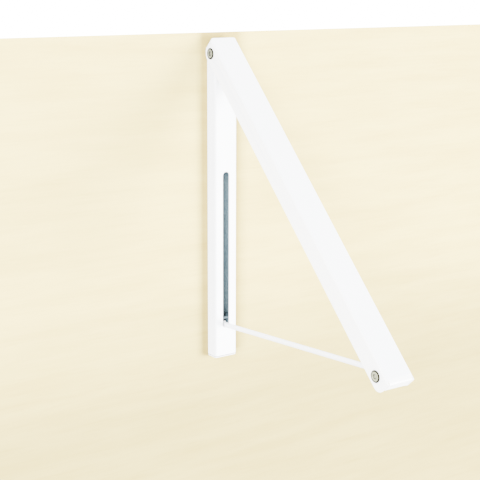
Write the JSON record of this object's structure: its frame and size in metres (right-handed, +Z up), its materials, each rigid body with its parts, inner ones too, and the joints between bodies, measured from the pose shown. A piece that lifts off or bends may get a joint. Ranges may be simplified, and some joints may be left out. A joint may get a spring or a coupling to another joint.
{
  "type": "wall mounted fold down drying rack",
  "caption": "Fold down wall bracket for drying clothes: slotted wall channel, hinged channel-section arm, and a strut that runs in the slot on a slider and locks the arm open.",
  "frame": {"origin": "on the wall face of the mounting plate, level with the arm's pivot axis, half way across the rack", "axes": "+Z up along the wall channel, +Y into the wall so the rack stands out towards -Y, +X to the right as seen from the room"},
  "size_m": [0.0368, 0.321, 0.3751],
  "materials": {
    "white_coat": "satin powder coat",
    "cap_plastic": "fine moulded texture",
    "bright_steel": "turned and polished",
    "zinc_plate": "blue zinc plating",
    "nylon": "natural nylon",
    "dark_plastic": "smooth moulded, slate grey",
    "rubber": "matt"
  },
  "bodies": {
    "base": {"base_channel": "white_coat", "back_plate": "zinc_plate", "top_cap": "cap_plastic", "bottom_cap": "cap_plastic", "lock_screw": "bright_steel", "stop_lower": "rubber", "stop_upper": "rubber", "bush_left": "nylon", "bush_right": "nylon", "pivot_spacer": "zinc_plate", "pivot_bolt": "bright_steel", "pivot_nut": "bright_steel"},
    "arm": {"arm_channel": "white_coat", "end_bolt": "bright_steel", "end_nut": "bright_steel", "end_spacer_left": "zinc_plate", "end_spacer_right": "zinc_plate"},
    "strut": {"strut_rod": "white_coat", "strut_bush": "nylon", "slider_pin": "bright_steel"},
    "slider": {"slider_block": "dark_plastic"}
  },
  "joints": [
    {"name": "arm_fold", "type": "hinge", "parent": "base", "child": "arm", "pos_m": [0, -0.0102, 0], "axis": [1, 0, 0], "range_deg": [0, 42.44]},
    {"name": "strut_swing", "type": "hinge", "parent": "arm", "child": "strut", "pos_m": [0, -0.30134, -0.29714], "axis": [1, 0, 0], "range_deg": [0, 49.15]},
    {"name": "slider_run", "type": "slide", "parent": "base", "child": "slider", "axis": [0, 0, 1], "range_m": [0, 0.1955]}
  ],
  "couplings": [
    {"joint": "strut_swing", "follows": "arm_fold", "ratio": 1.158},
    {"joint": "slider_run", "follows": "arm_fold", "m_per_rad": 0.26385}
  ]
}
